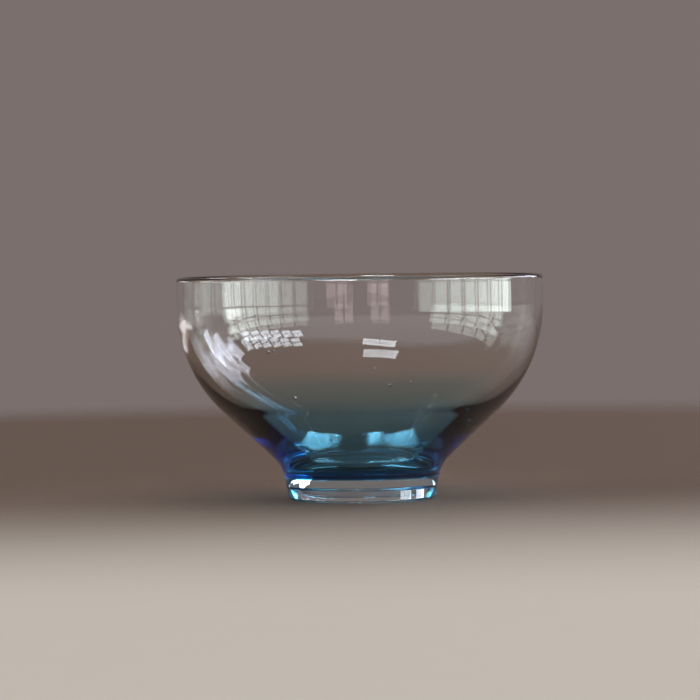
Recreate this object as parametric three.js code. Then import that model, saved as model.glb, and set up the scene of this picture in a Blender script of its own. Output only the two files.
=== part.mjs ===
// Glass tea bowl on a low ring foot, blown in clear glass with a blue overlay round its lower half.
//
// Three bodies of glass, fused while hot:
//   clear_bowl    the blown bowl of clear glass, from the floor to the lip
//   blue_overlay  a cup of blue glass round it, thick at the foot and thinning away up the wall
//   clear_foot    a clear foot, tapered outside, with a round recess underneath
//
// Lengths are in millimetres. +Z is up, the axis of the bowl is the Z axis, and the table is at zero.
// Every piece is a half section turned about that axis, so a point here is (radius, height).

import * as THREE from 'three';

// The outside of the whole bowl: an upright wall, a straight underside and a tapered foot
const BOWL_HEIGHT = 73;
const RIM_RADIUS = 60;
const BELLY_DROP = 30.1; // from the lip down to where the wall and the underside would cross
const BELLY_RADIUS = 47.5; // the round turn between them
const COVE_HEIGHT = 10.84; // where the underside and the foot would cross
const COVE_RADIUS = 12; // the hollow turn between them

// The inside of the whole bowl, with clear and blue glass together
const WALL = 2.4; // at the lip and down to the belly
const COVE_WALL = 6.5; // where the underside meets the foot
const FLOOR_CLEAR = 0.9; // the clear glass between the floor and the blue under it
const FLOOR_FILLET = 4; // the turn from floor to wall

// The blue overlay
const BLUE_BASE = 2.4; // its thickness under the floor
const BLUE_COVE = 5.4; // its thickness where the underside meets the foot
const BLUE_TOP = 36; // how high it reaches up the wall
const BLUE_EDGE = 0.3; // how far it has thinned there

// The clear foot
const FOOT_HEIGHT = 9;
const FOOT_RADIUS = 24; // at the table, before the edge is rounded
const FOOT_TAPER = degrees(10.2);
const FOOT_EDGE = 1.1;
const RING_WIDTH = 3.4; // of the ring that the bowl stands on, before its edges are rounded
const FOOT_WEB = 4; // the clear glass over the recess
const RECESS_TAPER = degrees(6);
const RECESS_CORNER = 1.2; // the hollow turn into its ceiling
const RECESS_EDGE = 0.8;

// How finely round shapes are cut into flats
const SIDES = 72;
const ARC_ERROR = 0.04;

function degrees(angle) {
  return (angle * Math.PI) / 180;
}

function point(radius, height) {
  return new THREE.Vector2(radius, height);
}

// One corner of an outline, with the radius that rounds it.
function corner(at, rounding = 0) {
  return { at, rounding };
}

// Half of the angle between the two sides of a corner.
function halfAngle(before, at, after) {
  const back = before.clone().sub(at).normalize();
  const on = after.clone().sub(at).normalize();
  return Math.acos(THREE.MathUtils.clamp(back.dot(on), -1, 1)) / 2;
}

// How far along its sides a rounded corner begins, limited by the shorter side.
function roundingReach(before, { at, rounding }, after) {
  const room = Math.min(before.distanceTo(at), after.distanceTo(at));
  return Math.min(rounding / Math.tan(halfAngle(before, at, after)), room);
}

// The points of a circle's arc, as many as keep its flats within ARC_ERROR of the curve. The number of
// flats is even, so that the middle of the arc is a point too.
function arcPoints(centre, radius, start, end) {
  const step = 2 * Math.acos(1 - ARC_ERROR / radius);
  const flats = 2 * Math.ceil(Math.abs(end - start) / step / 2);
  const arc = new THREE.ArcCurve(centre.x, centre.y, radius, start, end, end < start);
  return arc.getPoints(flats);
}

// Rounds one corner with an arc that touches both of its sides.
function roundCorner(before, here, after) {
  const half = halfAngle(before, here.at, after);
  const reach = roundingReach(before, here, after);
  const radius = reach * Math.tan(half);
  const back = before.clone().sub(here.at).normalize();
  const on = after.clone().sub(here.at).normalize();
  const centre = back.clone().add(on).setLength(radius / Math.sin(half)).add(here.at);
  const first = back.multiplyScalar(reach).add(here.at).sub(centre);
  const last = on.multiplyScalar(reach).add(here.at).sub(centre);
  const turn = Math.atan2(first.cross(last), first.dot(last));
  return arcPoints(centre, radius, first.angle(), first.angle() + turn);
}

// An outline through its corners, with each rounded as it says.
function outline(...corners) {
  return corners.flatMap((here, index) => {
    if (here.rounding === 0) return [here.at];
    return roundCorner(corners[index - 1].at, here, corners[index + 1].at);
  });
}

// The point of a rising outline at one height.
function pointAt(points, height) {
  const above = points.findIndex((each) => each.y >= height);
  if (points[above].y === height) return points[above];
  const share = (height - points[above - 1].y) / (points[above].y - points[above - 1].y);
  return points[above - 1].clone().lerp(points[above], share);
}

// The stretch of a rising outline between two heights, with a point at each of them.
function between(points, low, high) {
  const inside = points.filter((each) => each.y > low && each.y < high);
  return [pointAt(points, low), ...inside, pointAt(points, high)];
}

// The direction square to a line, towards the inside of the bowl where the line runs out and up.
function inwards(from, to) {
  return point(from.y - to.y, to.x - from.x).normalize();
}

// Moves a corner inwards so that both of its sides move by the same distance.
function insetCorner(before, at, after, distance) {
  const first = inwards(before, at);
  const second = inwards(at, after);
  return first.clone().add(second).multiplyScalar(distance / (1 + first.dot(second))).add(at);
}

// The heights of the blue's flat top, where the clear glass begins, and of the floor inside the bowl
const seamHeight = FOOT_HEIGHT + BLUE_BASE;
const floorHeight = seamHeight + FLOOR_CLEAR;

// The corners of the finished outside, from the table up to where the lip begins to round
const lipHeight = BOWL_HEIGHT - WALL / 2;
const foot = point(FOOT_RADIUS, 0);
const cove = point(FOOT_RADIUS + COVE_HEIGHT * Math.tan(FOOT_TAPER), COVE_HEIGHT);
const belly = point(RIM_RADIUS, BOWL_HEIGHT - BELLY_DROP);
const lip = point(RIM_RADIUS, lipHeight);
const roundBelly = corner(belly, BELLY_RADIUS);
const outside = outline(corner(foot), corner(cove, COVE_RADIUS), roundBelly, corner(lip));

// The point at some depth of glass under the cove, square to the underside.
function underCove(depth) {
  return inwards(cove, belly).multiplyScalar(depth).add(cove);
}

// Where the line from a high point down through a low one comes to a height.
function levelWith(low, high, height) {
  return low.clone().lerp(high, (height - low.y) / (high.y - low.y));
}

// The seam between clear and blue glass, from the axis out along a flat base and up to the blue's edge.
// It rounds the base so that the clear glass turns with the floor inside it.
function colourSeam() {
  const edge = pointAt(outside, BLUE_TOP).clone().sub(point(BLUE_EDGE, 0));
  const base = levelWith(underCove(BLUE_COVE), edge, seamHeight);
  const rounding = FLOOR_FILLET + FLOOR_CLEAR;
  return outline(corner(point(0, seamHeight)), corner(base, rounding), corner(edge));
}

// The inside of the bowl, from the centre of its floor up to the lip. Its belly is the outside's moved in
// by one wall and turns from the same height. Below it the side runs straight past the cove to the floor.
function insideOutline() {
  const side = insetCorner(cove, belly, lip, WALL);
  const top = point(lip.x - WALL, lip.y);
  const floor = levelWith(underCove(COVE_WALL), side, floorHeight);
  const turnHeight = belly.y + roundingReach(cove, roundBelly, lip);
  const rounding = (turnHeight - side.y) * Math.tan(halfAngle(floor, side, top));
  return outline(
    corner(point(0, floorHeight)),
    corner(floor, FLOOR_FILLET),
    corner(side, rounding),
    corner(top),
  );
}

// The clear bowl: along the seam, up the outside, over the round lip, and down the inside to the floor.
function clearBowlSection() {
  const upperWall = between(outside, BLUE_TOP, lipHeight).slice(0, -1);
  const roundLip = arcPoints(point(lip.x - WALL / 2, lip.y), WALL / 2, 0, Math.PI).slice(0, -1);
  return [...colourSeam(), ...upperWall, ...roundLip, ...insideOutline().reverse()];
}

// The blue overlay: out along its flat base, up the outside, then back down the seam.
function blueOverlaySection() {
  const lowerWall = between(outside, FOOT_HEIGHT, BLUE_TOP);
  return [point(0, FOOT_HEIGHT), ...lowerWall, ...colourSeam().reverse()];
}

// The clear foot: the recess from its ceiling to its mouth, the ring that it stands on, up its tapered
// outside and back along its flat top.
function clearFootSection() {
  const recessDepth = FOOT_HEIGHT - FOOT_WEB;
  const mouth = point(FOOT_RADIUS - RING_WIDTH, 0);
  const ceiling = point(mouth.x - recessDepth * Math.tan(RECESS_TAPER), recessDepth);
  const underside = outline(
    corner(point(0, recessDepth)),
    corner(ceiling, RECESS_CORNER),
    corner(mouth, RECESS_EDGE),
    corner(foot, FOOT_EDGE),
    corner(cove),
  ).slice(0, -1);
  const taper = between(outside, underside.at(-1).y, FOOT_HEIGHT).slice(1);
  return [...underside, ...taper, point(0, FOOT_HEIGHT)];
}

// Turns a half section about the bowl's axis.
function turned(name, section, material) {
  const geometry = new THREE.LatheGeometry(section, SIDES);
  geometry.rotateX(Math.PI / 2);
  const piece = new THREE.Mesh(geometry, material);
  piece.name = name;
  return piece;
}

function glass(color, opacity) {
  return new THREE.MeshStandardMaterial({
    color,
    opacity,
    transparent: true,
    roughness: 0.04,
    metalness: 0,
  });
}

const teaBowl = new THREE.Group();
teaBowl.add(turned('clear_bowl', clearBowlSection(), glass('#dfe4e4', 0.35)));
teaBowl.add(turned('blue_overlay', blueOverlaySection(), glass('#1d5f96', 0.7)));
teaBowl.add(turned('clear_foot', clearFootSection(), glass('#cfdadd', 0.4)));

export default teaBowl;
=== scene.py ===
"""Glass tea bowl: a blown clear bowl with a blue overlay round its lower half, on a clear ring foot.

Every piece is a half section turned about the Z axis. Section sizes are written in millimetres, as a
glassmaker gives them, and meshes are in metres. The three gathers of glass are fused, so the faces where
they meet bend no light: they carry the value 1 in the attribute "seam", and there the IOR is 1.
"""

import logging
import math
from dataclasses import dataclass, field
from enum import Enum

import bpy
import numpy as np
from mathutils import Euler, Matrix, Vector


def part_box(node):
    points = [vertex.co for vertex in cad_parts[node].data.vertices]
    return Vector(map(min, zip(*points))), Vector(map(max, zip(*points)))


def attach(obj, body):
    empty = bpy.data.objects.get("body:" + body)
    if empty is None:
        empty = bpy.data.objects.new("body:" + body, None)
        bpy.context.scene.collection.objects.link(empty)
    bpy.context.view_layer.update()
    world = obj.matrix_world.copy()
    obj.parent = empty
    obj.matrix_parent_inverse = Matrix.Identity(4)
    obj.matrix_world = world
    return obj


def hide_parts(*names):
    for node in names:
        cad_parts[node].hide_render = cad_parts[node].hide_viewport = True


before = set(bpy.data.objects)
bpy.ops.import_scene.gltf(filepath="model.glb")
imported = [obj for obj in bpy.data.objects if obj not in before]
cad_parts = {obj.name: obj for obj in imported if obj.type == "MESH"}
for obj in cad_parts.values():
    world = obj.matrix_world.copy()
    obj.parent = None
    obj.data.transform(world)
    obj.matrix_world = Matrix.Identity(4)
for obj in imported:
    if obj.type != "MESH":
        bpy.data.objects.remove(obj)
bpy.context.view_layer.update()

log = logging.getLogger("tea_bowl")

MM = 0.001

# Edges where a surface turns by more than this are drawn sharp
SHARP_ANGLE = math.radians(35)

# The windows stand round a point at this height, about the middle of the bowl, in metres
MIDDLE_HEIGHT = 0.05

# A Mix node gives its numbers, vectors and colours the same names, so its colour sockets go by number
COLOUR_A, COLOUR_B, MIXED_COLOUR = 6, 7, 2


class Face(Enum):
    """What a stretch of a section faces. It says how handwork shapes it and whether it bends light."""

    OUTSIDE = 0
    INSIDE = 1
    SEAM = 2


def linear(hex_colour: str) -> tuple[float, float, float]:
    """Turns an sRGB hex colour into linear light, along the sRGB curve: a straight foot, then a power.

    Args:
        hex_colour: Six hex digits with a leading hash.

    Returns:
        Red, green and blue from 0 to 1.
    """
    values = np.array([int(hex_colour[i:i + 2], 16) for i in (1, 3, 5)]) / 255
    bent = np.where(values <= 0.04045, values / 12.92, ((values + 0.055) / 1.055) ** 2.4)
    return tuple(float(value) for value in bent)


def add_node(
    tree: bpy.types.NodeTree,
    kind: str,
    links: dict[str | int, bpy.types.NodeSocket] | None = None,
    **settings: object,
) -> bpy.types.Node:
    """Adds one node with its settings and links.

    The node's attributes are set before its inputs, because some of them change which inputs it has.

    Args:
        tree: The node tree to add to.
        kind: The node's type name.
        links: Input socket name or index to the output socket that feeds it.
        settings: Attributes of the node, or input values where the name is an input's in lower case
            with underscores.

    Returns:
        The new node.
    """
    node = tree.nodes.new(kind)

    def inputs() -> dict[str, bpy.types.NodeSocket]:
        """The node's inputs by name. Where several share a name, it is the first of them."""
        return {socket.name.lower().replace(" ", "_"): socket for socket in reversed(node.inputs)}

    sockets = inputs()
    for name, value in settings.items():
        if hasattr(node, name) and name not in sockets:
            setattr(node, name, value)
    sockets = inputs()
    for name, value in settings.items():
        if name in sockets:
            sockets[name].default_value = value
    for name, output in (links or {}).items():
        tree.links.new(output, node.inputs[name])
    return node


def new_material(name: str) -> tuple[bpy.types.Material, bpy.types.NodeTree]:
    """Makes an empty node material.

    Args:
        name: The material's name.

    Returns:
        The material and its emptied node tree.
    """
    material = bpy.data.materials.new(name)
    material.use_nodes = True
    material.node_tree.nodes.clear()
    return material, material.node_tree


def add_object(name: str, data: bpy.types.ID) -> bpy.types.Object:
    """Makes an object and links it into the scene.

    Args:
        name: The object's name.
        data: Its mesh, lamp or camera.

    Returns:
        The new object.
    """
    made = bpy.data.objects.new(name, data)
    bpy.context.scene.collection.objects.link(made)
    return made


def add_panel(
    name: str, place: Vector, out: Vector, size: tuple[float, float], power: float, colour: str,
) -> bpy.types.Object:
    """Adds a rectangular lamp that shines back along a direction.

    Args:
        name: The lamp's name.
        place: Its middle, in metres.
        out: The direction that it shines against, one long.
        size: Its width and height, in metres.
        power: Its power in watts.
        colour: The colour of its light.

    Returns:
        The lamp's object.
    """
    lamp = bpy.data.lights.new(name, "AREA")
    lamp.shape = "RECTANGLE"
    lamp.size, lamp.size_y = size
    lamp.energy = power
    lamp.color = linear(colour)
    panel = add_object(name, lamp)
    panel.location = place
    panel.rotation_euler = out.to_track_quat("Z", "Y").to_euler()
    return panel


@dataclass(frozen=True)
class Glass:
    """A soda glass, clear or coloured, with the marks of its making. Lengths are in millimetres.

    Attributes:
        name: What the glass is and how it was worked.
        taken: How fast red, green and blue fade in the glass: the exponent of each for one millimetre.
        ior: Refractive index.
        ripple: Height of the slow ripples left by blowing.
        ripple_width: Distance between the ripples.
        ground_below: Height below which the surface is ground matt, or 0 for none.
        ground_roughness: Roughness of the ground surface.
        grit_width: Distance between the marks of its grit. Real ones are too fine to show, and these
            are drawn several times as coarse.
        cord: Height of the fine threads left by a streak of uneven glass, or 0 for no streak.
        cord_place: The middle of that streak.
        cord_reach: How far the streak reaches from its middle.
        cord_core: Share of that reach within which its threads have their whole height.
        thread_width: Distance between the threads.
        thread_pace: How fast their pattern changes upwards, as a share of its pace round the bowl.
            Below 1 it draws the threads out upright.
        thread_turn: Turns of the noise about X, Y and Z, in radians, which pick how the threads fall.
    """

    name: str
    taken: tuple[float, float, float]
    ior: float = 1.52
    ripple: float = 0.010
    ripple_width: float = 14.0
    ground_below: float = 0.0
    ground_roughness: float = 0.32
    grit_width: float = 0.4
    cord: float = 0.0
    cord_place: tuple[float, float, float] = (-48.0, 30.0, 49.0)
    cord_reach: float = 20.0
    cord_core: float = 0.3
    thread_width: float = 3.5
    thread_pace: float = 0.3
    thread_turn: tuple[float, float, float] = (0.5, 0.3, 0.0)

    def build(self) -> bpy.types.Material:
        """Makes the node material.

        The IOR comes from the seam attribute: the glass's own on outer faces, and 1 on fused seams. The
        surface is white, because the colour comes from the depth: for each metre the volume takes light
        by its density times (1 - its colour).

        Returns:
            A clear glass shader with marks in its surface and an inside that takes light by depth.
        """
        material, tree = new_material(self.name)
        place = add_node(tree, "ShaderNodeTexCoord").outputs["Object"]
        bump = add_node(
            tree, "ShaderNodeBump", {"Height": self.marks(tree, place)}, strength=1.0, distance=MM,
        )
        seam = add_node(tree, "ShaderNodeAttribute", attribute_name="seam").outputs["Fac"]
        bending = add_node(
            tree, "ShaderNodeMapRange", {"Value": seam}, to_min=self.ior, to_max=1.0,
        )
        links = {"IOR": bending.outputs["Result"], "Normal": bump.outputs["Normal"]}
        if self.ground_below:
            links["Roughness"] = self.grind(tree, place)
        shader = add_node(
            tree, "ShaderNodeBsdfPrincipled", links,
            base_color=(1, 1, 1, 1), roughness=0.0, ior=self.ior, transmission_weight=1.0,
        )
        density = max(self.taken) / MM
        colour = [1 - share / max(self.taken) for share in self.taken]
        depth = add_node(
            tree, "ShaderNodeVolumeAbsorption", color=(*colour, 1), density=density,
        )
        add_node(
            tree, "ShaderNodeOutputMaterial",
            {"Surface": shader.outputs["BSDF"], "Volume": depth.outputs["Volume"]},
        )
        return material

    def marks(self, tree: bpy.types.NodeTree, place: bpy.types.NodeSocket) -> bpy.types.NodeSocket:
        """The marks of making: slow ripples all over, and the threads of a streak where there is one.

        The height is the ripple pattern times its height, plus the height of the threads.

        Args:
            tree: The material's node tree.
            place: Object coordinates.

        Returns:
            The height of the marks, in millimetres.
        """
        ripples = add_node(
            tree, "ShaderNodeTexNoise", {"Vector": place},
            scale=1 / (self.ripple_width * MM), detail=1.5, roughness=0.4,
        )
        height = add_node(
            tree, "ShaderNodeMath", {0: ripples.outputs["Fac"]}, operation="MULTIPLY_ADD",
        )
        height.inputs[1].default_value = self.ripple
        height.inputs[2].default_value = 0.0
        if self.cord:
            tree.links.new(self.threads(tree, place), height.inputs[2])
        return height.outputs["Value"]

    def threads(self, tree: bpy.types.NodeTree, place: bpy.types.NodeSocket) -> bpy.types.NodeSocket:
        """The fine drawn-out threads of the streak.

        Their height is the thread pattern times its height, which falls smoothly to nothing from the
        streak's core to its reach.

        Args:
            tree: The material's node tree.
            place: Object coordinates.

        Returns:
            The height of the threads, in millimetres.
        """
        drawn = add_node(
            tree, "ShaderNodeMapping", {"Vector": place},
            rotation=self.thread_turn, scale=(1, 1, self.thread_pace),
        )
        pattern = add_node(
            tree, "ShaderNodeTexNoise", {"Vector": drawn.outputs["Vector"]},
            scale=1 / (self.thread_width * MM), detail=3.0, roughness=0.55, distortion=0.8,
        )
        away = add_node(tree, "ShaderNodeVectorMath", {0: place}, operation="DISTANCE")
        away.inputs[1].default_value = [length * MM for length in self.cord_place]
        near = add_node(
            tree, "ShaderNodeMapRange", {"Value": away.outputs["Value"]},
            from_min=self.cord_reach * MM * self.cord_core, from_max=self.cord_reach * MM,
            to_min=self.cord, to_max=0.0, interpolation_type="SMOOTHSTEP",
        )
        return add_node(
            tree, "ShaderNodeMath", {0: pattern.outputs["Fac"], 1: near.outputs["Result"]},
            operation="MULTIPLY",
        ).outputs["Value"]

    def grind(self, tree: bpy.types.NodeTree, place: bpy.types.NodeSocket) -> bpy.types.NodeSocket:
        """The fine grind where the glass rests, below a fire-polished surface.

        It is whole up to three fifths of its height and fades out above that. Its grit makes the
        roughness vary by two fifths either way.

        Args:
            tree: The material's node tree.
            place: Object coordinates.

        Returns:
            The roughness output.
        """
        height = add_node(tree, "ShaderNodeSeparateXYZ", {"Vector": place}).outputs["Z"]
        grit = add_node(
            tree, "ShaderNodeTexNoise", {"Vector": place},
            scale=1 / (self.grit_width * MM), detail=2.0,
        )
        ground = add_node(
            tree, "ShaderNodeMapRange", {"Value": height},
            from_min=self.ground_below * MM * 0.6, from_max=self.ground_below * MM,
            to_min=self.ground_roughness, to_max=0.0,
        )
        spread = add_node(
            tree, "ShaderNodeMapRange", {"Value": grit.outputs["Fac"]}, to_min=0.6, to_max=1.4,
        )
        return add_node(
            tree, "ShaderNodeMath",
            {0: ground.outputs["Result"], 1: spread.outputs["Result"]}, operation="MULTIPLY",
        ).outputs["Value"]


@dataclass(frozen=True)
class Corner:
    """A corner of a section, in millimetres.

    Attributes:
        radius: Its distance from the axis.
        height: Its height above the table.
        rounding: Radius of the arc that rounds it, or 0 where it stays a point.
    """

    radius: float
    height: float
    rounding: float = 0.0

    @property
    def at(self) -> np.ndarray:
        """The corner as (radius, height)."""
        return np.array([self.radius, self.height])


def unit(way: np.ndarray) -> np.ndarray:
    """Makes a direction one long.

    Args:
        way: The direction.

    Returns:
        The direction divided by its length.
    """
    return way / np.linalg.norm(way)


def half_angle(before: np.ndarray, at: np.ndarray, after: np.ndarray) -> float:
    """Half of the angle between the two sides of a corner.

    The cosine of the whole angle is the dot product of the sides' directions.

    Args:
        before: The corner before.
        at: The corner.
        after: The corner after.

    Returns:
        The angle in radians.
    """
    return math.acos(float(np.clip(unit(before - at) @ unit(after - at), -1, 1))) / 2


def reach_of(before: np.ndarray, corner: Corner, after: np.ndarray) -> float:
    """How far along its sides a rounded corner begins: its radius over the tangent of the half angle.

    Args:
        before: The corner before.
        corner: The rounded corner.
        after: The corner after.

    Returns:
        The distance in millimetres.
    """
    return corner.rounding / math.tan(half_angle(before, corner.at, after))


def round_corner(before: np.ndarray, corner: Corner, after: np.ndarray) -> np.ndarray:
    """Rounds one corner with the arc of a circle that touches both sides.

    The centre lies on the line that halves the corner, and the arc turns from one touching point to the
    other in steps of about one degree.

    Args:
        before: The corner before, which gives the first side.
        corner: The corner to round.
        after: The corner after, which gives the second side.

    Returns:
        The arc's points, one row each.
    """
    half = half_angle(before, corner.at, after)
    back, on = unit(before - corner.at), unit(after - corner.at)
    reach = reach_of(before, corner, after)
    centre = corner.at + unit(back + on) * corner.rounding / math.sin(half)
    first = corner.at + back * reach - centre
    last = corner.at + on * reach - centre
    turn = math.atan2(first[0] * last[1] - first[1] * last[0], float(first @ last))
    angles = np.linspace(0, turn, max(3, round(abs(math.degrees(turn)))))
    cos, sin = np.cos(angles), np.sin(angles)
    return centre + np.stack([first[0] * cos - first[1] * sin, first[0] * sin + first[1] * cos], axis=1)


def outline(*corners: Corner) -> np.ndarray:
    """A line through corners, with each rounded as it says.

    Args:
        corners: The corners in order. The first and last are points.

    Returns:
        The line's points, one row each.
    """
    rows = []
    for index, corner in enumerate(corners):
        if corner.rounding:
            rows.append(round_corner(corners[index - 1].at, corner, corners[index + 1].at))
        else:
            rows.append(corner.at[None])
    return np.concatenate(rows)


def evenly(points: np.ndarray, step: float) -> np.ndarray:
    """Adds points to the long straight stretches of a line, and keeps all of its own.

    Args:
        points: The line's points.
        step: The longest stretch to leave, in millimetres.

    Returns:
        The denser line.
    """
    gaps = np.linalg.norm(np.diff(points, axis=0), axis=1)
    at = np.concatenate([[0], np.cumsum(gaps)])
    parts = [np.linspace(a, b, max(1, math.ceil((b - a) / step)), endpoint=False)
             for a, b in zip(at[:-1], at[1:])]
    along = np.concatenate([*parts, at[-1:]])
    return np.stack([np.interp(along, at, points[:, axis]) for axis in (0, 1)], axis=1)


def between(points: np.ndarray, low: float, high: float) -> np.ndarray:
    """The stretch of a rising line between two heights, with a point at each of them.

    Args:
        points: The line's points, from low to high.
        low: The lower height in millimetres.
        high: The upper height in millimetres.

    Returns:
        The points of the stretch.
    """
    radii = np.interp([low, high], points[:, 1], points[:, 0])
    inside = points[(points[:, 1] > low) & (points[:, 1] < high)]
    return np.concatenate([[[radii[0], low]], inside, [[radii[1], high]]])


def inset(before: np.ndarray, at: np.ndarray, after: np.ndarray, distance: float) -> np.ndarray:
    """Moves a corner inwards so that both of its sides move by the same distance.

    Args:
        before: The corner before.
        at: The corner to move.
        after: The corner after.
        distance: How far the sides move, in millimetres.

    Returns:
        The moved corner.
    """
    first = unit(np.array([before[1] - at[1], at[0] - before[0]]))
    second = unit(np.array([at[1] - after[1], after[0] - at[0]]))
    return at + (first + second) * distance / (1 + first @ second)


def level_with(low: np.ndarray, high: np.ndarray, height: float) -> np.ndarray:
    """Where the line from a high point down through a low one comes to a height.

    Args:
        low: The low point.
        high: The high point.
        height: The height in millimetres.

    Returns:
        The point of the line at that height.
    """
    return low + (high - low) * (height - low[1]) / (high[1] - low[1])


@dataclass(frozen=True)
class BowlSection:
    """The half section of the whole bowl, in millimetres, as the solids have it.

    The first four sizes come from the frame. Those up to the recess's edge are the solids' own driving
    sizes, and the last four are only for the meshes.

    Attributes:
        height: Of the whole bowl.
        rim: Radius outside the upright wall.
        blue_top: How high the blue reaches.
        foot_height: Of the clear foot, up to the blue.
        belly_drop: From the lip down to where the wall and the underside would cross.
        belly_radius: The round turn between them.
        cove_height: Where the underside and the foot would cross.
        cove_radius: The hollow turn between them.
        wall: Thickness of the whole wall, at the lip and down to the belly.
        cove_wall: Thickness of the whole wall where the underside meets the foot.
        floor_clear: Thickness of the clear glass between the floor and the blue under it.
        floor_fillet: The turn from floor to wall.
        blue_base: Thickness of the blue under the floor.
        blue_cove: Thickness of the blue where the underside meets the foot.
        foot_radius: At the table, before the edge is rounded.
        foot_taper: Slope of the foot's outside from upright, in radians.
        foot_edge: The rounding of the foot's outer edge.
        ring_width: Width of the ring that the bowl stands on, before its edges are rounded.
        foot_web: Thickness of the clear glass over the recess.
        recess_taper: Slope of the recess's side from upright, in radians.
        recess_corner: The hollow turn into the recess's ceiling.
        recess_edge: The rounding of the recess's mouth.
        step: The longest distance between two points of the section.
        fade: Over how much height the blue thins away to its top.
        blue_edge: Thickness of the blue at its top, where the solids stop at 0.3.
        lip_points: How many points the round lip has.
    """

    height: float
    rim: float
    blue_top: float
    foot_height: float
    belly_drop: float = 30.1
    belly_radius: float = 47.5
    cove_height: float = 10.84
    cove_radius: float = 12.0
    wall: float = 2.4
    cove_wall: float = 6.5
    floor_clear: float = 0.9
    floor_fillet: float = 4.0
    blue_base: float = 2.4
    blue_cove: float = 5.4
    foot_radius: float = 24.0
    foot_taper: float = math.radians(10.2)
    foot_edge: float = 1.1
    ring_width: float = 3.4
    foot_web: float = 4.0
    recess_taper: float = math.radians(6.0)
    recess_corner: float = 1.2
    recess_edge: float = 0.8
    step: float = 0.9
    fade: float = 8.0
    blue_edge: float = 0.03
    lip_points: int = 25

    @classmethod
    def from_frame(cls) -> "BowlSection":
        """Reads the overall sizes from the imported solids.

        Returns:
            The section.
        """
        bowl, overlay, foot = (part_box(name)[1] for name in ("clear_bowl", "blue_overlay", "clear_foot"))
        return cls(
            height=bowl[2] / MM, rim=bowl[0] / MM, blue_top=overlay[2] / MM, foot_height=foot[2] / MM,
        )

    @property
    def foot(self) -> Corner:
        """Where the tapered foot would meet the table."""
        return Corner(self.foot_radius, 0, self.foot_edge)

    @property
    def cove(self) -> Corner:
        """The hollow turn between foot and underside."""
        return Corner(
            self.foot_radius + self.cove_height * math.tan(self.foot_taper),
            self.cove_height, self.cove_radius,
        )

    @property
    def belly(self) -> Corner:
        """The round turn between underside and upright wall."""
        return Corner(self.rim, self.height - self.belly_drop, self.belly_radius)

    @property
    def lip(self) -> Corner:
        """Where the upright wall begins to round into the lip."""
        return Corner(self.rim, self.height - self.wall / 2)

    @property
    def base_height(self) -> float:
        """The height of the blue's flat top, where the clear glass of the floor begins."""
        return self.foot_height + self.blue_base

    @property
    def floor_height(self) -> float:
        """The height of the floor inside the bowl."""
        return self.base_height + self.floor_clear

    def under_cove(self, depth: float) -> np.ndarray:
        """The point at some depth under the cove, square to the underside, in millimetres."""
        cove, belly = self.cove.at, self.belly.at
        return cove + unit(np.array([cove[1] - belly[1], belly[0] - cove[0]])) * depth

    def outside(self) -> np.ndarray:
        """The finished outside, from the table up to the lip."""
        foot = Corner(self.foot.radius, 0)
        return evenly(outline(foot, self.cove, self.belly, self.lip), self.step)

    def seam(self, shift: float) -> np.ndarray:
        """The seam between clear and blue glass, from the axis out and up to the top of the blue.

        Over its last stretch the seam runs into the outside, so that the blue fades out as it does on
        the real bowl: each point there moves towards the outside point of its height by a smooth step,
        3 s^2 - 2 s^3 for a share s of the way. The whole line is then shifted square to itself.

        Args:
            shift: How far the line lies outwards of the true seam, in millimetres.

        Returns:
            The seam's points.
        """
        outside = self.outside()
        edge = between(outside, 0, self.blue_top)[-1]
        base = level_with(self.under_cove(self.blue_cove), edge, self.base_height)
        rounding = self.floor_fillet + self.floor_clear
        whole = evenly(
            outline(Corner(0, self.base_height), Corner(*base, rounding), Corner(*edge)), self.step,
        )
        limit = np.interp(whole[:, 1], outside[:, 1], outside[:, 0]) - self.blue_edge
        share = np.clip((whole[:, 1] - self.blue_top + self.fade) / self.fade, 0, 1)
        share = share ** 2 * (3 - 2 * share)
        whole[:, 0] += (limit - whole[:, 0]) * share
        along = np.gradient(whole, axis=0)
        square = np.stack([along[:, 1], -along[:, 0]], axis=1)
        moved = whole + square / np.linalg.norm(square, axis=1)[:, None] * shift
        moved[0, 0] = 0
        return moved

    def inside(self) -> np.ndarray:
        """The inside of the bowl, from the centre of its floor up to the lip.

        Its belly is the outside's moved in by one wall, and begins to turn at the same height. From there
        its side runs straight down, and meets the floor after it has passed the cove at the whole depth
        of the wall there.

        Returns:
            The inside's points.
        """
        cove, belly = self.cove.at, self.belly
        top = self.lip.at - (self.wall, 0)
        side = inset(cove, belly.at, self.lip.at, self.wall)
        floor = level_with(self.under_cove(self.cove_wall), side, self.floor_height)
        turn_height = belly.height + reach_of(cove, belly, self.lip.at)
        rounding = (turn_height - side[1]) * math.tan(half_angle(floor, side, top))
        return evenly(
            outline(
                Corner(0, self.floor_height),
                Corner(*floor, self.floor_fillet),
                Corner(*side, rounding),
                Corner(*top),
            ),
            self.step,
        )

    def round_lip(self) -> np.ndarray:
        """The fire-polished lip, half a circle from the outside over to the inside.

        Returns:
            The lip's points.
        """
        angles = np.linspace(0, math.pi, self.lip_points)
        centre = np.array([self.lip.radius - self.wall / 2, self.lip.height])
        return centre + self.wall / 2 * np.stack([np.cos(angles), np.sin(angles)], axis=1)

    def underside(self) -> np.ndarray:
        """Under the foot: the recess's ceiling and side, the ring that it stands on, and its edge.

        Returns:
            The points, from the axis out.
        """
        depth = self.foot_height - self.foot_web
        mouth = self.foot.radius - self.ring_width
        ceiling = mouth - depth * math.tan(self.recess_taper)
        return evenly(
            outline(
                Corner(0, depth),
                Corner(ceiling, depth, self.recess_corner),
                Corner(mouth, 0, self.recess_edge),
                self.foot,
                Corner(self.cove.radius, self.cove.height),
            )[:-1],
            self.step,
        )


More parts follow.
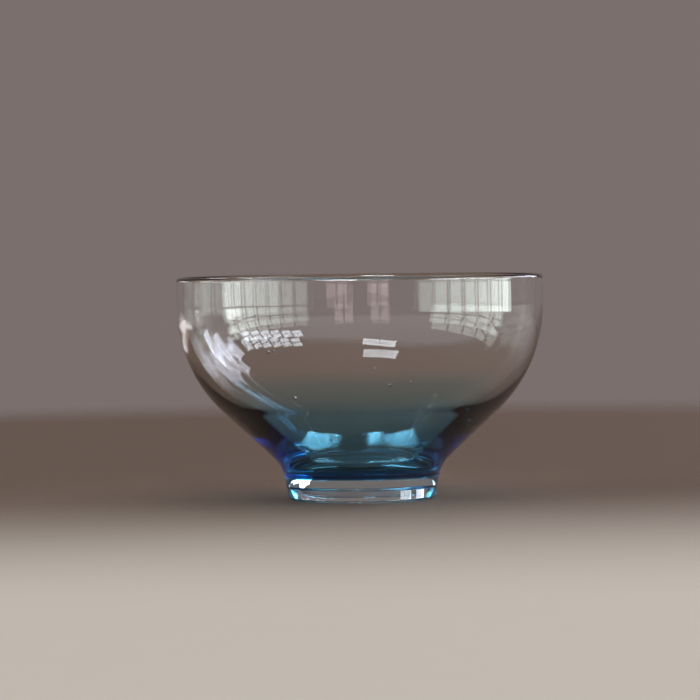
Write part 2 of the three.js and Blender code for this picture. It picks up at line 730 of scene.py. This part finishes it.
@dataclass(frozen=True)
class Handwork:
    """How far the hand-blown glass strays from a true turned shape, in millimetres.

    All shifts are made of a few slow waves round the bowl, whose starts are picked freely. They only
    draw the outside in from its full radius and height, so the bowl keeps within the solids' box. The
    inside strays both ways.

    Attributes:
        oval: How much narrower the rim is across its short way, at each side.
        tilt: How much lower the lip is at its lowest.
        waver: How far the wall wavers with height.
        thickness: How far the first wave of the inside's own shifts it, which makes the wall uneven.
        whole_height: Height at which the outside strays its whole share.
        whole_radius: Radius from which it does.
        even_height: Height from which the inside is true again, at the lip.
        even_fall: How far below that it strays its whole share.
        even_radius: Radius from which it does, outwards from the true middle of the floor.
    """

    oval: float = 0.10
    tilt: float = 0.10
    waver: float = 0.035
    thickness: float = 0.10
    whole_height: float = 73.0
    whole_radius: float = 40.0
    even_height: float = 71.0
    even_fall: float = 20.0
    even_radius: float = 25.0

    def shift(self, points: np.ndarray, turn: np.ndarray, face: Face) -> tuple[np.ndarray, np.ndarray]:
        """The shift of a section's points at each angle.

        A wave that goes twice round makes the rim slightly oval, one that goes once leans the lip, and
        one that goes three times wavers with height. All grow with the square of the height. The inside
        has two more of its own, which fade out at the lip and on the floor.

        Args:
            points: Section points, (radius, height) in millimetres.
            turn: Angles about the axis, in radians.
            face: What the stretch faces.

        Returns:
            The shifts of radius and of height, one row for each point and one column for each angle.
        """
        radius, height = points[:, :1], points[:, 1:]
        rise = np.clip(height / self.whole_height, 0, 1) ** 2
        rise = rise * np.clip(radius / self.whole_radius, 0, 1)
        around = turn[None, :]
        radial = -self.oval * rise * (1 + np.cos(2 * around + 0.7)) / 2
        radial = radial - self.waver * rise * (1 + np.sin(3 * around + height / 9)) / 2
        lift = -self.tilt * rise * (1 + np.cos(around - 0.4)) / 2
        if face is Face.INSIDE:
            fades = np.clip((self.even_height - height) / self.even_fall, 0, 1)
            fades = fades * np.clip(radius / self.even_radius, 0, 1)
            waves = np.sin(2 * around + height / 14) + 0.6 * np.sin(5 * around - height / 8)
            radial = radial + self.thickness * fades * waves
        return radial, lift


@dataclass
class Stretch:
    """A stretch of a section.

    Attributes:
        points: Its points, (radius, height) in millimetres.
        face: What it faces.
    """

    points: np.ndarray
    face: Face


@dataclass(frozen=True)
class Seed:
    """A tiny bubble shut in the glass.

    Attributes:
        turn: Where it sits round the bowl, in degrees from the camera's side to the right.
        height: Its height, in millimetres.
        width: Its width, in millimetres.
        depth: How deep it lies under the inside, in millimetres.
    """

    turn: float
    height: float
    width: float
    depth: float = 1.1

    def skin(self, inside: np.ndarray, sides: int = 16, rings: int = 9) -> tuple[np.ndarray, np.ndarray]:
        """Makes the bubble's skin, a ball whose faces look inwards, out of the glass.

        A ring at the angle p from the top has its vertices at (sin p cos a, sin p sin a, cos p).

        Args:
            inside: The inside of the bowl, which the depth is measured from.
            sides: How many vertices each ring has.
            rings: How many rings lie between top and bottom.

        Returns:
            The vertices in millimetres, and the triangles.
        """
        radius = np.interp(self.height, inside[:, 1], inside[:, 0]) + self.depth
        turn = math.radians(self.turn)
        middle = np.array([radius * math.sin(turn), -radius * math.cos(turn), self.height])
        down = np.linspace(0, math.pi, rings + 2)[1:-1, None]
        around = np.linspace(0, 2 * math.pi, sides, endpoint=False)[None, :]
        flat = np.sin(down)
        ball = np.stack(
            [flat * np.cos(around), flat * np.sin(around), np.cos(down) + 0 * around], axis=2,
        ).reshape(-1, 3)
        ball = np.concatenate([[[0, 0, 1]], ball, [[0, 0, -1]]])
        start = 1 + np.arange(rings)[:, None] * sides + np.arange(sides)[None, :]
        after = np.roll(start, -1, axis=1)
        top, bottom = np.zeros(sides, int), np.full(sides, len(ball) - 1)
        triangles = np.concatenate([
            np.stack([top, after[0], start[0]], axis=1),
            np.stack([start[:-1], after[:-1], after[1:]], axis=2).reshape(-1, 3),
            np.stack([start[:-1], after[1:], start[1:]], axis=2).reshape(-1, 3),
            np.stack([start[-1], after[-1], bottom], axis=1),
        ])
        return middle + ball * self.width / 2, triangles


@dataclass
class TurnedPiece:
    """A closed piece of glass: a half section carried round the axis.

    Attributes:
        name: The piece's name.
        stretches: Its half section, from axis to axis. Each begins at the last point of the one before.
        handwork: How far it strays from a true turned shape.
        skins: The skins of the bubbles shut in it.
        sides: How many vertices each ring has, which keeps a piece under 200,000 triangles.
    """

    name: str
    stretches: list[Stretch]
    handwork: Handwork
    skins: list[tuple[np.ndarray, np.ndarray]] = field(default_factory=list)
    sides: int = 304

    def build(self, material: bpy.types.Material) -> bpy.types.Object:
        """Makes the piece's mesh and object.

        Each section point becomes a ring of vertices, (radius cos a, radius sin a, height), and each pair
        of rings a band of quads. A point on the axis becomes one vertex with a fan of triangles.

        Args:
            material: The glass.

        Returns:
            The finished object.
        """
        turn = np.linspace(0, 2 * math.pi, self.sides, endpoint=False)
        rings, kinds = [], []
        for index, stretch in enumerate(self.stretches):
            points = stretch.points if index == 0 else stretch.points[1:]
            radial, lift = self.handwork.shift(points, turn, stretch.face)
            radius = np.where(points[:, :1] > 0, points[:, :1] + radial, 0)
            ring = np.stack([radius * np.cos(turn), radius * np.sin(turn), points[:, 1:] + lift], axis=2)
            rings.append(ring)
            kinds += [stretch.face] * (len(points) - (index == 0))
        rings = np.concatenate(rings)
        count = len(rings)
        inner = rings[1:-1].reshape(-1, 3)
        vertices = np.concatenate([rings[:1, 0], inner, rings[-1:, 0]]) * MM
        start = 1 + np.arange(count - 2)[:, None] * self.sides + np.arange(self.sides)[None, :]
        after = np.roll(start, -1, axis=1)
        quads = np.stack([start[:-1], after[:-1], after[1:], start[1:]], axis=2).reshape(-1, 4)
        first = np.stack([np.zeros(self.sides, int), after[0], start[0]], axis=1)
        last = np.stack([start[-1], after[-1], np.full(self.sides, len(vertices) - 1)], axis=1)
        seam = np.array([float(kind is Face.SEAM) for kind in kinds])
        values = np.concatenate([
            np.repeat(seam[1:-1], self.sides), np.repeat(seam[:1], self.sides),
            np.repeat(seam[-1:], self.sides),
        ])
        faces = [*quads.tolist(), *first.tolist(), *last.tolist()]
        return self.to_object(vertices, faces, values, material)

    def to_object(
        self,
        vertices: np.ndarray,
        faces: list[list[int]],
        seam: np.ndarray,
        material: bpy.types.Material,
    ) -> bpy.types.Object:
        """Puts arrays into a mesh, adds the skins of bubbles, shades it and links it.

        Args:
            vertices: Vertex places in metres.
            faces: Vertex numbers of each face.
            seam: The seam value of each face.
            material: The glass.

        Returns:
            The object.
        """
        for bubble, triangles in self.skins:
            faces += (triangles + len(vertices)).tolist()
            vertices = np.concatenate([vertices, bubble * MM])
            seam = np.concatenate([seam, np.zeros(len(triangles))])
        mesh = bpy.data.meshes.new(self.name)
        mesh.from_pydata(vertices, [], faces)
        mesh.attributes.new("seam", "FLOAT", "FACE").data.foreach_set("value", seam)
        mesh.materials.append(material)
        mesh.validate()
        mesh.set_sharp_from_angle(angle=SHARP_ANGLE)
        return add_object(self.name, mesh)


@dataclass
class TeaBowl:
    """The whole bowl: clear bowl, blue overlay and clear foot.

    Attributes:
        section: The half section of the whole bowl.
        handwork: How far the glass strays from it.
        gap: How far each piece stays back from a seam, in millimetres, so that no two faces coincide.
        clear: The glass of the bowl.
        blue: The glass of the overlay.
        tooled: The glass of the foot.
        seeds: The bubbles in the clear bowl's wall.
    """

    section: BowlSection
    handwork: Handwork = field(default_factory=Handwork)
    gap: float = 0.006

    # Almost colourless: bright lines where its round lip and walls bend the room, and slow ripples that
    # make those lines waver. Its streak of uneven glass draws what is behind it into milky swirls.
    clear: Glass = Glass("hand-blown clear soda glass", (0.0030, 0.0018, 0.0020), cord=0.03)
    # Takes red first and blue last: deep blue where it is thick above the foot, and paler as it thins
    # away up the wall.
    blue: Glass = Glass("hand-blown blue soda glass", (0.19, 0.075, 0.042))
    # A faint cool tint in its depth, clear enough to see the recess's edges through it, and a fine matt
    # ring where it rests.
    tooled: Glass = Glass("tooled clear soda glass", (0.0050, 0.0022, 0.0018), ground_below=0.05)
    # Where the photograph shows specks: turn, height, width and, where it isn't the usual one, depth
    seeds: tuple[Seed, ...] = (
        Seed(-62.2, 55.8, 1.15, 1.2),
        Seed(-30.3, 50.1, 1.0),
        Seed(-28.3, 50.5, 0.8),
        Seed(-25.1, 36.1, 1.1, 0.9),
        Seed(4.6, 44.9, 0.7),
        Seed(10.1, 39.7, 0.9),
        Seed(17.3, 40.5, 0.8),
        Seed(58.9, 28.4, 0.7, 0.8),
    )

    def clear_bowl(self) -> bpy.types.Object:
        """The clear bowl: along the seam, up the wall, over the lip and down the inside to the floor.

        Returns:
            The finished piece.
        """
        part = self.section
        seam = part.seam(-self.gap)
        wall = between(part.outside(), part.blue_top + self.gap, part.lip.height)
        seam = np.concatenate([seam, [[seam[-1, 0], wall[0, 1]]]])
        stretches = [
            Stretch(np.concatenate([seam, wall[:1]]), Face.SEAM),
            Stretch(wall, Face.OUTSIDE),
            Stretch(part.round_lip(), Face.OUTSIDE),
            Stretch(part.inside()[::-1], Face.INSIDE),
        ]
        skins = [seed.skin(part.inside()) for seed in self.seeds]
        piece = TurnedPiece("clear_bowl_glass", stretches, self.handwork, skins)
        return piece.build(self.clear.build())

    def blue_overlay(self) -> bpy.types.Object:
        """The blue cup round the lower half: out along its base, up the wall and back down the seam.

        Returns:
            The finished piece.
        """
        part = self.section
        low = part.foot_height + self.gap
        wall = between(part.outside(), low, part.blue_top)
        base = evenly(np.array([[0, low], wall[0]]), part.step)
        seam = part.seam(self.gap)[::-1]
        stretches = [
            Stretch(base, Face.SEAM),
            Stretch(wall, Face.OUTSIDE),
            Stretch(np.concatenate([wall[-1:], seam]), Face.SEAM),
        ]
        return TurnedPiece("blue_overlay_glass", stretches, self.handwork).build(self.blue.build())

    def clear_foot(self) -> bpy.types.Object:
        """The clear ring foot: out under it, up its tapered side and back along its flat top.

        Returns:
            The finished piece.
        """
        part = self.section
        high = part.foot_height - self.gap
        underside = part.underside()
        taper = between(part.outside(), underside[-1, 1], high)
        top = evenly(np.array([taper[-1], [0, high]]), part.step)
        stretches = [
            Stretch(underside, Face.OUTSIDE),
            Stretch(taper, Face.OUTSIDE),
            Stretch(top, Face.SEAM),
        ]
        return TurnedPiece("clear_foot_glass", stretches, self.handwork).build(self.tooled.build())

    def build(self) -> None:
        """Makes the three pieces and sets each in the place of its solid."""
        for make, node, slot in (
            (self.clear_bowl, "clear_bowl", "clear_glass"),
            (self.blue_overlay, "blue_overlay", "blue_glass"),
            (self.clear_foot, "clear_foot", "foot_glass"),
        ):
            piece = make()
            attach(piece, "root")
            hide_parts(node)
            log.info("%s: %d faces", piece.name, len(piece.data.polygons))


@dataclass(frozen=True)
class Floor:
    """A plain pale floor with painted shade darkening it behind the bowl; it ends in a soft edge, in
    metres.

    Attributes:
        near: Its colour in front of the bowl.
        far: Its colour behind the bowl: painted shade, darker so that the blue shows against it.
        shade_from: Y at which the painted shade begins, where more Y is further behind the bowl's axis.
        shade_to: Y at which the painted shade has reached the far colour.
        fade_from: Distance from the bowl at which it begins to fade out.
        fade_to: Distance at which it has faded out.
        half_width: Half of its width.
        grain_width: Size of the patches in which the paint lies a little unevenly.
        grain: How much its tone varies between them, either way.
        roughness: Roughness of the paint.
        shine: How much it reflects, where 0.5 is usual.
    """

    near: str = "#C4BBB2"
    # Painted shade: the floor's colour behind the bowl, darker as if it fell out of the light
    far: str = "#685549"
    shade_from: float = -0.32
    shade_to: float = 0.05
    fade_from: float = 0.47
    fade_to: float = 0.66
    half_width: float = 1.2
    grain_width: float = 0.012
    grain: float = 0.015
    roughness: float = 0.6
    shine: float = 0.15

    def build(self) -> bpy.types.Object:
        """Makes the floor: a flat square with its paint.

        Returns:
            The floor.
        """
        # Matt paint: pale in front and darkened behind the bowl by painted shade, with a soft cast
        # shadow, and no reflection that competes with the glass
        material, tree = new_material("matt pale floor paint")
        place = add_node(tree, "ShaderNodeTexCoord").outputs["Object"]
        behind = add_node(tree, "ShaderNodeSeparateXYZ", {"Vector": place}).outputs["Y"]
        # Painted shade: the paint darkens from the near colour to the far one behind the bowl
        shade = add_node(
            tree, "ShaderNodeMapRange", {"Value": behind},
            from_min=self.shade_from, from_max=self.shade_to, interpolation_type="SMOOTHSTEP",
        )
        paint = add_node(
            tree, "ShaderNodeMix", {"Factor": shade.outputs["Result"]}, data_type="RGBA",
        )
        paint.inputs[COLOUR_A].default_value = (*linear(self.near), 1)
        paint.inputs[COLOUR_B].default_value = (*linear(self.far), 1)
        grain = add_node(
            tree, "ShaderNodeTexNoise", {"Vector": place}, scale=1 / self.grain_width, detail=4.0,
        )
        uneven = add_node(
            tree, "ShaderNodeMapRange", {"Value": grain.outputs["Fac"]},
            to_min=1 - self.grain, to_max=1 + self.grain,
        )
        tone = add_node(
            tree, "ShaderNodeVectorMath",
            {0: paint.outputs[MIXED_COLOUR], "Scale": uneven.outputs["Result"]},
            operation="SCALE",
        )
        shader = add_node(
            tree, "ShaderNodeBsdfPrincipled", {"Base Color": tone.outputs["Vector"]},
            roughness=self.roughness, specular_ior_level=self.shine,
        )
        away = add_node(tree, "ShaderNodeVectorMath", {0: place}, operation="LENGTH")
        share = add_node(
            tree, "ShaderNodeMapRange", {"Value": away.outputs["Value"]},
            from_min=self.fade_from, from_max=self.fade_to, interpolation_type="SMOOTHSTEP",
        )
        clear = add_node(tree, "ShaderNodeBsdfTransparent")
        mix = add_node(
            tree, "ShaderNodeMixShader",
            {0: share.outputs["Result"], 1: shader.outputs["BSDF"], 2: clear.outputs["BSDF"]},
        )
        add_node(tree, "ShaderNodeOutputMaterial", {"Surface": mix.outputs["Shader"]})
        mesh = bpy.data.meshes.new("floor")
        half = self.half_width
        mesh.from_pydata(
            [(-half, -half, 0), (half, -half, 0), (half, half, 0), (-half, half, 0)], [], [(0, 1, 2, 3)],
        )
        mesh.materials.append(material)
        floor = add_object("floor", mesh)
        return floor


@dataclass(frozen=True)
class Window:
    """A lit window of flat panes, set round the bowl where its reflection belongs.

    Attributes:
        name: The window's name.
        turns: Where it begins and ends round the bowl, in degrees from the camera's side to the right.
        rises: Its lower and upper edge, in degrees above the table.
        panes: How many panes across and up.
        light: How bright its face looks, where 1 is white.
        colour: The colour of its light.
        bar: Share of each pane's width and height that a glazing bar hides.
        climb: How many degrees higher its last column stands than its first.
        fade: The light of its first column as a share of its last's.
        mirrored_only: Whether it only shows in the glass and leaves matt surfaces unlit.
        distance: How far it stands from the bowl, in metres.
    """

    name: str
    turns: tuple[float, float]
    rises: tuple[float, float]
    panes: tuple[int, int]
    light: float
    colour: str = "#F4F8FA"
    bar: float = 0.14
    climb: float = 0.0
    fade: float = 1.0
    mirrored_only: bool = False
    distance: float = 1.6

    def build(self) -> None:
        """Adds one rectangular lamp for each pane, square to the line from the bowl.

        A pane's width is its angle seen from the bowl times the distance, less the bar's share. Its
        power is its light times its area times pi.
        """
        across, up = self.panes
        turn_step = (self.turns[1] - self.turns[0]) / across
        rise_step = (self.rises[1] - self.rises[0]) / up
        for column in range(across):
            for row in range(up):
                turn = math.radians(self.turns[0] + (column + 0.5) * turn_step)
                climb = self.climb * (column + 0.5) / across
                rise = math.radians(self.rises[0] + climb + (row + 0.5) * rise_step)
                flat = math.cos(rise)
                out = Vector((math.sin(turn) * flat, -math.cos(turn) * flat, math.sin(rise)))
                width = abs(math.radians(turn_step)) * flat * self.distance * (1 - self.bar)
                height = math.radians(rise_step) * self.distance * (1 - self.bar)
                light = self.light * (self.fade + (1 - self.fade) * (column + 0.5) / across)
                place = out * self.distance + Vector((0, 0, MIDDLE_HEIGHT))
                power = light * width * height * math.pi
                pane = add_panel(
                    f"{self.name}_{column}_{row}", place, out, (width, height), power, self.colour,
                )
                pane.visible_diffuse = not self.mirrored_only


@dataclass(frozen=True)
class Glow:
    """A patch of light on the floor behind the bowl, in place of light that the glass gathers there.

    Attributes:
        name: The patch's name.
        place: The middle of the patch, in millimetres right of and behind the bowl's axis.
        size: Its width and depth, in millimetres.
        light: How bright white paint looks in it, where 1 is white.
        colour: The colour of its light.
        rise: Angle of the light above the floor, in degrees.
        distance: How far off its lamp stands, in metres.
        spread: How wide its beam opens, in degrees.
    """

    name: str
    place: tuple[float, float]
    size: tuple[float, float]
    light: float
    colour: str = "#E4F2FF"
    rise: float = 28.0
    distance: float = 0.22
    spread: float = 1.0

    def build(self) -> None:
        """Adds the lamp: a rectangle whose light runs straight down to the patch from behind.

        It is as high as the patch looks deep from where it stands, the depth times the sine of the rise.
        """
        rise = math.radians(self.rise)
        out = Vector((0, math.cos(rise), math.sin(rise)))
        width, depth = (length * MM for length in self.size)
        place = Vector((self.place[0] * MM, self.place[1] * MM, 0)) + out * self.distance
        power = self.light * math.pi * width * depth
        lamp = add_panel(self.name, place, out, (width, depth * math.sin(rise)), power, self.colour)
        lamp.data.spread = math.radians(self.spread)


@dataclass(frozen=True)
class Studio:
    """Soft light from all round, windows that the glass mirrors, and a plain backdrop.

    Attributes:
        backdrop: The colour seen behind the bowl, in its reflections and through it.
        fill: Strength of the soft light on matt surfaces, where 1 is white.
        fill_colour: The colour of that light.
        windows: The windows, set where the glass shows bright.
        glows: The patches of light on the floor.
    """

    backdrop: str = "#7A6F6D"
    fill: float = 0.82
    fill_colour: str = "#FFFDFA"
    windows: tuple[Window, ...] = (
        Window("window_right", (36, 108), (1, 19), (7, 2), 7.5, "#E4F0EA", fade=0.25),
        Window("window_right_sill", (36, 108), (-4, 1), (7, 1), 6.5, "#E4F0EA", fade=0.3),
        Window(
            "sky_right", (46, 98), (29, 37), (6, 2), 44.0, "#EAF4FF", climb=-10.5, mirrored_only=True,
        ),
        Window("window_left", (-117, -50), (1, 21), (5, 2), 3.8, "#E4F0EA"),
        Window("window_left_sill", (-117, -50), (-4, 1), (5, 1), 1.0, "#E4F0EA"),
        Window("curtain_right", (4, 18), (-3, 22), (2, 1), 1.6, "#F6DEDC", bar=0.2),
        Window("curtain_left", (-21, -7), (-3, 22), (2, 1), 1.6, "#F6DEDC", bar=0.2),
        Window("window_back", (110, 148), (20, 36), (3, 1), 7.0, "#E6ECFF", bar=0.06, climb=-15),
        Window("lamp_side", (93, 104), (2, 8), (1, 1), 4.0, bar=0.0),
        Window(
            "skylight_front", (-33, -2), (43, 51), (2, 1), 60.0, "#F2F8FF", bar=0.03, mirrored_only=True,
        ),
    )
    glows: tuple[Glow, ...] = (
        Glow("glow_far_left", (-260, 420), (140, 300), 6.5),
        Glow("glow_left", (-19, 38), (8, 38), 6.5),
        Glow("glow_left_fade", (-12.5, 46), (5, 30), 3.0),
        Glow("glow_middle", (6, 48), (5, 28), 4.5),
        Glow("glow_right", (16, 36), (12, 30), 3.2),
    )

    def build(self) -> None:
        """Adds the lamps and the world, where only camera, reflected and bent rays see the backdrop."""
        for light in (*self.windows, *self.glows):
            light.build()
        world = bpy.data.worlds.new("studio")
        bpy.context.scene.world = world
        world.use_nodes = True
        tree = world.node_tree
        tree.nodes.clear()
        path = add_node(tree, "ShaderNodeLightPath")
        seen = path.outputs["Is Camera Ray"]
        for kind in ("Is Glossy Ray", "Is Transmission Ray"):
            seen = add_node(
                tree, "ShaderNodeMath", {0: seen, 1: path.outputs[kind]}, operation="MAXIMUM",
            ).outputs["Value"]
        wall = add_node(tree, "ShaderNodeBackground", color=(*linear(self.backdrop), 1), strength=1.0)
        fill = add_node(
            tree, "ShaderNodeBackground", color=(*linear(self.fill_colour), 1), strength=self.fill,
        )
        mix = add_node(
            tree, "ShaderNodeMixShader",
            {0: seen, 1: fill.outputs["Background"], 2: wall.outputs["Background"]},
        )
        add_node(tree, "ShaderNodeOutputWorld", {"Surface": mix.outputs["Shader"]})


@dataclass(frozen=True)
class ViewPoint:
    """The photograph's viewing point.

    Attributes:
        distance: From the bowl's axis, in metres.
        height: Above the table, in metres.
        down: How far it looks down, in degrees.
        roll: How far it leans to its right, in degrees.
        lens_pixels: Focal length in pixels of the photograph.
        frame_pixels: Width of the photograph in pixels.
        aim_left: How far left of the axis it aims, in metres.
        sensor: Width of the sensor, in millimetres.
        nearest: Distance at which it begins to see, in metres.
    """

    distance: float = 1.07
    height: float = 0.085
    down: float = 1.95
    roll: float = 0.78
    lens_pixels: float = 3269.0
    frame_pixels: float = 700.0
    aim_left: float = 0.0034
    sensor: float = 36.0
    nearest: float = 0.05

    def build(self) -> bpy.types.Object:
        """Makes the camera and gives it to the scene.

        Returns:
            The camera.
        """
        camera = bpy.data.cameras.new("camera")
        camera.sensor_width = self.sensor
        camera.lens = self.sensor * self.lens_pixels / self.frame_pixels
        camera.clip_start = self.nearest
        holder = add_object("camera", camera)
        holder.location = (0, -self.distance, self.height)
        yaw = math.atan2(self.aim_left, self.distance)
        turned = Euler((math.radians(90 - self.down), 0, yaw)).to_quaternion()
        rolled = Euler((0, 0, math.radians(-self.roll))).to_quaternion()
        holder.rotation_euler = (turned @ rolled).to_euler()
        bpy.context.scene.camera = holder
        return holder


def set_light_paths() -> None:
    """Lets light pass through all of the glass's faces before it is given up."""
    cycles = bpy.context.scene.cycles
    cycles.max_bounces = 40
    cycles.transmission_bounces = 40
    cycles.glossy_bounces = 12
    cycles.transparent_max_bounces = 16
    bpy.context.scene.view_settings.view_transform = "Standard"


def main() -> None:
    """Builds the camera, the bowl, the floor and the lights, in that order."""
    logging.basicConfig(level=logging.INFO, format="%(name)s: %(message)s")
    set_light_paths()
    ViewPoint().build()
    TeaBowl(BowlSection.from_frame()).build()
    Floor().build()
    Studio().build()


if __name__ == "__main__":
    main()
